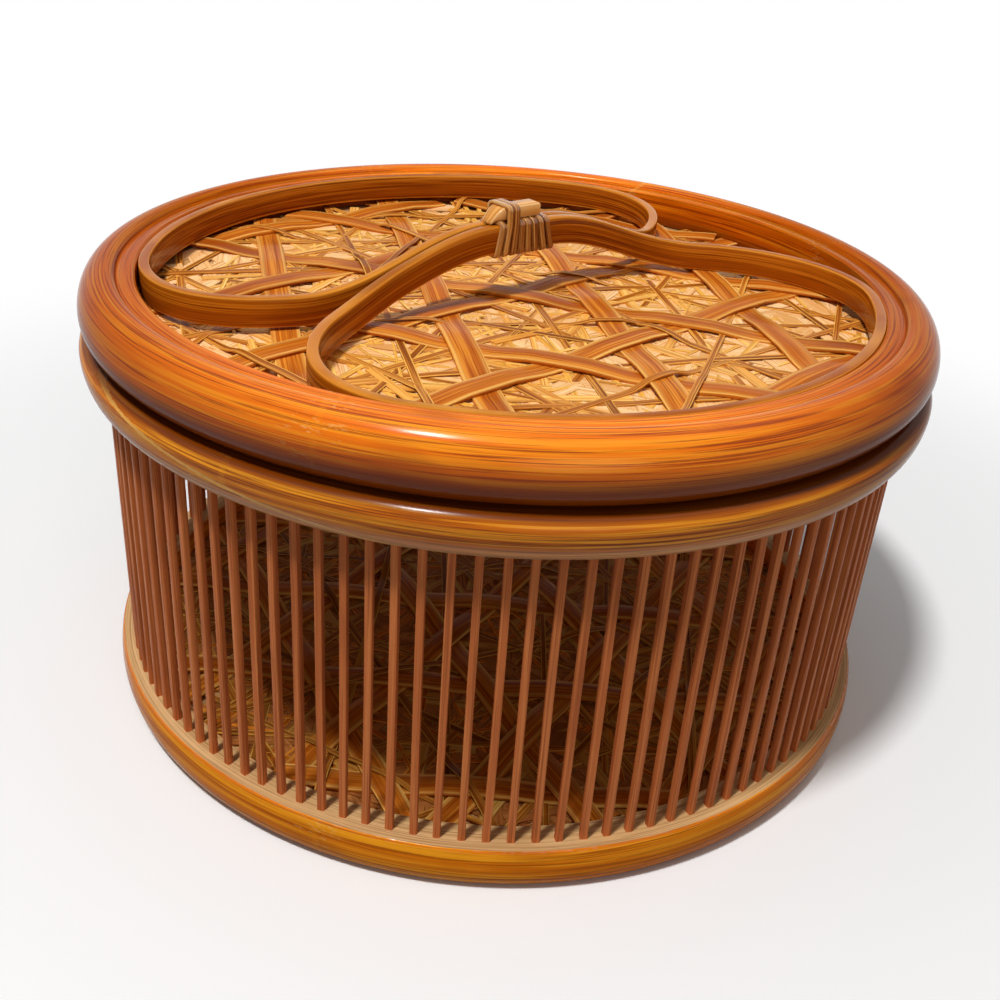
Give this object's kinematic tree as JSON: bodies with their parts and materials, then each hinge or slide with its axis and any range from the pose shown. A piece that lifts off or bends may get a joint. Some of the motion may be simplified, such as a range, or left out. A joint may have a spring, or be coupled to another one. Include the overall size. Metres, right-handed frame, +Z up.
{
  "type": "lidded bamboo box",
  "caption": "Round box of lacquered bamboo: bent hoops, a wall of thin upright rods, woven floor, and a lift-off lid with a woven panel and a tied strip handle.",
  "frame": {"origin": "middle of the underside, on the surface that the box stands on", "axes": "+Z up through the lid's knot, -Y towards the pictured front, +X to its right"},
  "size_m": [0.2, 0.2, 0.1194],
  "materials": {
    "hoop_lacquer": "glossy clear lacquer over split bamboo",
    "lid_lacquer": "glossy clear lacquer over split bamboo",
    "rod_bamboo": "satin stained bamboo",
    "panel_bamboo": "matt pale bamboo",
    "weave_bamboo": "satin lacquered bamboo strip",
    "strip_lacquer": "glossy lacquered bamboo strip",
    "cane": "satin lacquered split cane"
  },
  "bodies": {
    "box": {"base_hoop": "hoop_lacquer", "floor_panel": "panel_bamboo", "floor_band": "hoop_lacquer", "floor_weave_a": "weave_bamboo", "floor_weave_b": "weave_bamboo", "floor_weave_c": "weave_bamboo", "rods_front": "rod_bamboo", "rods_right": "rod_bamboo", "rods_back": "rod_bamboo", "rods_left": "rod_bamboo", "upper_hoop": "hoop_lacquer"},
    "lid": {"lid_ring": "lid_lacquer", "lid_panel": "panel_bamboo", "lid_band": "hoop_lacquer", "lid_weave_a": "weave_bamboo", "lid_weave_b": "weave_bamboo", "lid_weave_c": "weave_bamboo", "loop_front": "strip_lacquer", "loop_back": "strip_lacquer", "knot_binding": "cane", "knot_tail": "strip_lacquer"}
  },
  "joints": [
    {"name": "lid_lift", "type": "slide", "parent": "box", "child": "lid", "axis": [0, 0, 1], "range_m": [0, 0.1]}
  ]
}
